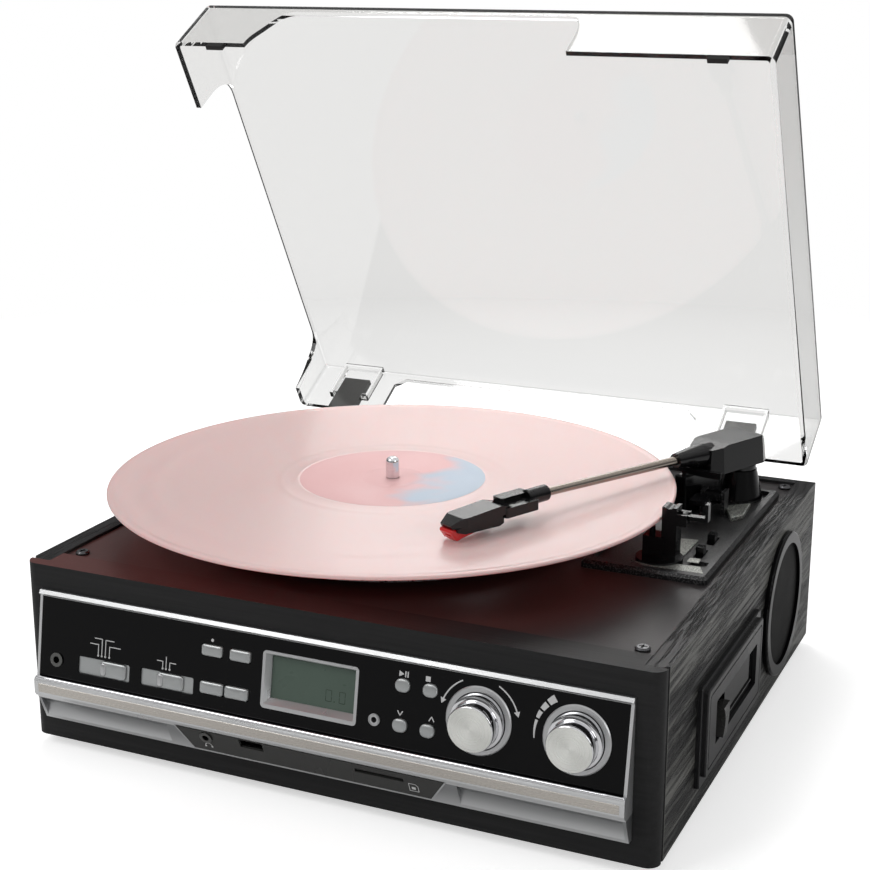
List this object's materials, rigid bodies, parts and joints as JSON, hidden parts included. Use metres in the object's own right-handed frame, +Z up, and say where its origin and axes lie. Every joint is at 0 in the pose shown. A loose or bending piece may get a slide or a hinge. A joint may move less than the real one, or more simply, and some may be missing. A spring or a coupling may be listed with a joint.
{
  "type": "turntable",
  "caption": "Boxed record player with clear hinged lid, straight tonearm, sloped radio panel with round knobs, side speakers and cassette slot.",
  "frame": {"origin": "middle of the overall box's underside, lid open and tonearm on the record", "axes": "+X to the right along the front, +Y to the back, +Z up along the spindle; the control panel faces -Y"},
  "size_m": [0.3507, 0.3395, 0.3669],
  "materials": {
    "black_board": "satin black board",
    "grained_board": "black ash grain, satin",
    "back_board": "raw-edged black board",
    "foot_rubber": "moulded rubber",
    "deck": "gloss black",
    "screw_steel": "plated",
    "fascia": "silver moulding",
    "panel": "gloss black",
    "ring_metal": "bright",
    "display_frame": "silver moulding",
    "display": "grey-green display",
    "board_green": "circuit board",
    "strip": "champagne, brushed",
    "port_panel": "graphite",
    "socket_metal": "plated",
    "speaker_rim": "gloss black",
    "grille": "fine mesh",
    "driver": "paper cone and frame",
    "cassette": "black moulding",
    "rear_sockets": "plated sockets in black mouldings",
    "motor": "plated can",
    "belt": "rubber",
    "bearing": "turned",
    "arm_plate": "graphite moulding",
    "arm_supports": "black moulding",
    "hinge_boxes": "black moulding",
    "platter": "turned, dark",
    "mat": "ribbed rubber",
    "spindle": "nickel",
    "record": "pearly pressed disc",
    "pulley": "turned",
    "yoke": "moulded",
    "arm_housing": "charcoal moulding",
    "arm_tube": "dark satin tube",
    "arm_collar": "black cone",
    "headshell": "black moulding",
    "cartridge": "black",
    "stylus": "red",
    "lift_bar": "black",
    "cue_lever": "black",
    "arm_clip": "black",
    "lid": "clear grey",
    "bumper": "rubber",
    "hinge_leaf": "black",
    "tuning_knob": "spun face, dark skirt",
    "volume_knob": "spun face, dark skirt",
    "slider": "silver",
    "switch": "black",
    "flap": "black",
    "eject": "grey",
    "button": "silver-grey"
  },
  "bodies": {
    "case": {"front_board": "black_board", "side_boards": "grained_board", "rear_and_base": "back_board", "rubber_feet": "foot_rubber", "deck_plate": "deck", "deck_screws": "screw_steel", "fascia_frame": "fascia", "control_panel": "panel", "knob_rings": "ring_metal", "display_frame": "display_frame", "display_glass": "display", "control_board": "board_green", "band_strip": "strip", "port_panel": "port_panel", "front_sockets": "socket_metal", "speaker_rims": "speaker_rim", "speaker_grilles": "grille", "speaker_drivers": "driver", "cassette_unit": "cassette", "rear_sockets": "rear_sockets", "drive_motor": "motor", "drive_belt": "belt", "spindle_bearing": "bearing", "arm_plate": "arm_plate", "arm_supports": "arm_supports", "hinge_boxes": "hinge_boxes"},
    "turntable": {"platter": "platter", "platter_mat": "mat", "spindle": "spindle", "vinyl_record": "record"},
    "pulley": {"motor_pulley": "pulley"},
    "yoke": {"arm_yoke": "yoke"},
    "arm": {"arm_housing": "arm_housing", "arm_tube": "arm_tube", "arm_collar": "arm_collar", "headshell": "headshell", "cartridge": "cartridge", "stylus": "stylus"},
    "lift_bar": {"lift_bar": "lift_bar"},
    "cue_lever": {"cue_lever": "cue_lever"},
    "clip": {"arm_clip": "arm_clip"},
    "lid": {"lid": "lid", "lid_bumpers": "bumper", "hinge_leaves": "hinge_leaf"},
    "tuning": {"tuning_knob": "tuning_knob"},
    "volume": {"volume_knob": "volume_knob"},
    "function": {"function_slider": "slider"},
    "band": {"band_slider": "slider"},
    "speed": {"speed_switch": "switch"},
    "auto_stop": {"stop_switch": "switch"},
    "flap": {"cassette_flap": "flap"},
    "eject": {"eject_piece": "eject"},
    "memory_button": {"memory_button": "button"},
    "mode_button": {"mode_button": "button"},
    "delete_button": {"delete_button": "button"},
    "record_button": {"record_button": "button"},
    "stop_button": {"stop_button": "button"},
    "play_button": {"play_button": "button"},
    "back_button": {"back_button": "button"},
    "next_button": {"next_button": "button"}
  },
  "joints": [
    {"name": "platter_spin", "type": "hinge", "parent": "case", "child": "turntable", "pos_m": [-0.0246, -0.01897, 0.123], "axis": [0, 0, 1], "continuous": true},
    {"name": "pulley_spin", "type": "hinge", "parent": "case", "child": "pulley", "pos_m": [-0.0819, -0.07627, 0.106], "axis": [0, 0, 1], "continuous": true},
    {"name": "arm_swing", "type": "hinge", "parent": "case", "child": "yoke", "pos_m": [0.1343, 0.09883, 0.12], "axis": [0, 0, 1], "range_deg": [-13.7, 22.8]},
    {"name": "arm_lift", "type": "hinge", "parent": "yoke", "child": "arm", "pos_m": [0.1343, 0.09883, 0.132], "axis": [-0.9107, 0.4131, 0], "range_deg": [0, 3.5]},
    {"name": "cue_lever_tilt", "type": "hinge", "parent": "case", "child": "cue_lever", "pos_m": [0.1294, 0.06583, 0.1095], "axis": [-1, 0, 0], "range_deg": [0, 25]},
    {"name": "lift_bar_rise", "type": "slide", "parent": "case", "child": "lift_bar", "axis": [0, 0, 1], "range_m": [0, 0.00254]},
    {"name": "clip_fold", "type": "hinge", "parent": "case", "child": "clip", "pos_m": [0.1374, -0.02117, 0.126], "axis": [0, -1, 0], "range_deg": [0, 90]},
    {"name": "lid_hinge", "type": "hinge", "parent": "case", "child": "lid", "pos_m": [0.0008, 0.13583, 0.095], "axis": [-1, 0, 0], "range_deg": [-60.6, 0]},
    {"name": "tuning_turn", "type": "hinge", "parent": "case", "child": "tuning", "pos_m": [0.0847, -0.15417, 0.06392], "axis": [0, -1, 0], "continuous": true},
    {"name": "volume_turn", "type": "hinge", "parent": "case", "child": "volume", "pos_m": [0.1315, -0.15417, 0.06392], "axis": [0, -1, 0], "range_deg": [-150, 150]},
    {"name": "function_slide", "type": "slide", "parent": "case", "child": "function", "axis": [1, 0, 0], "range_m": [-0.0038, 0.0019]},
    {"name": "band_slide", "type": "slide", "parent": "case", "child": "band", "axis": [1, 0, 0], "range_m": [-0.0019, 0.0019]},
    {"name": "speed_slide", "type": "slide", "parent": "case", "child": "speed", "axis": [0, 1, 0], "range_m": [-0.0035, 0.0035]},
    {"name": "auto_stop_slide", "type": "slide", "parent": "case", "child": "auto_stop", "axis": [0, 1, 0], "range_m": [0, 0.0035]},
    {"name": "flap_swing", "type": "hinge", "parent": "case", "child": "flap", "pos_m": [0.1699, -0.03117, 0.0554], "axis": [0, 1, 0], "range_deg": [0, 70], "stiffness_Nm_per_rad": 0.003},
    {"name": "eject_push", "type": "slide", "parent": "case", "child": "eject", "axis": [-1, 0, 0], "range_m": [0, 0.004], "stiffness_N_per_m": 300},
    {"name": "memory_button_press", "type": "slide", "parent": "case", "child": "memory_button", "axis": [0, 0.9842, -0.1772], "range_m": [0, 0.0012], "stiffness_N_per_m": 300},
    {"name": "mode_button_press", "type": "slide", "parent": "case", "child": "mode_button", "axis": [0, 0.9842, -0.1772], "range_m": [0, 0.0012], "stiffness_N_per_m": 300},
    {"name": "delete_button_press", "type": "slide", "parent": "case", "child": "delete_button", "axis": [0, 0.9842, -0.1772], "range_m": [0, 0.0012], "stiffness_N_per_m": 300},
    {"name": "record_button_press", "type": "slide", "parent": "case", "child": "record_button", "axis": [0, 0.9842, -0.1772], "range_m": [0, 0.0012], "stiffness_N_per_m": 300},
    {"name": "stop_button_press", "type": "slide", "parent": "case", "child": "stop_button", "axis": [0, 0.9842, -0.1772], "range_m": [0, 0.0012], "stiffness_N_per_m": 300},
    {"name": "play_button_press", "type": "slide", "parent": "case", "child": "play_button", "axis": [0, 0.9842, -0.1772], "range_m": [0, 0.0012], "stiffness_N_per_m": 300},
    {"name": "back_button_press", "type": "slide", "parent": "case", "child": "back_button", "axis": [0, 0.9842, -0.1772], "range_m": [0, 0.0012], "stiffness_N_per_m": 300},
    {"name": "next_button_press", "type": "slide", "parent": "case", "child": "next_button", "axis": [0, 0.9842, -0.1772], "range_m": [0, 0.0012], "stiffness_N_per_m": 300}
  ],
  "couplings": [
    {"joint": "pulley_spin", "follows": "platter_spin", "ratio": 11.273},
    {"joint": "arm_lift", "follows": "lift_bar_rise", "rad_per_m": 24},
    {"joint": "cue_lever_tilt", "follows": "lift_bar_rise", "rad_per_m": 171.7}
  ]
}
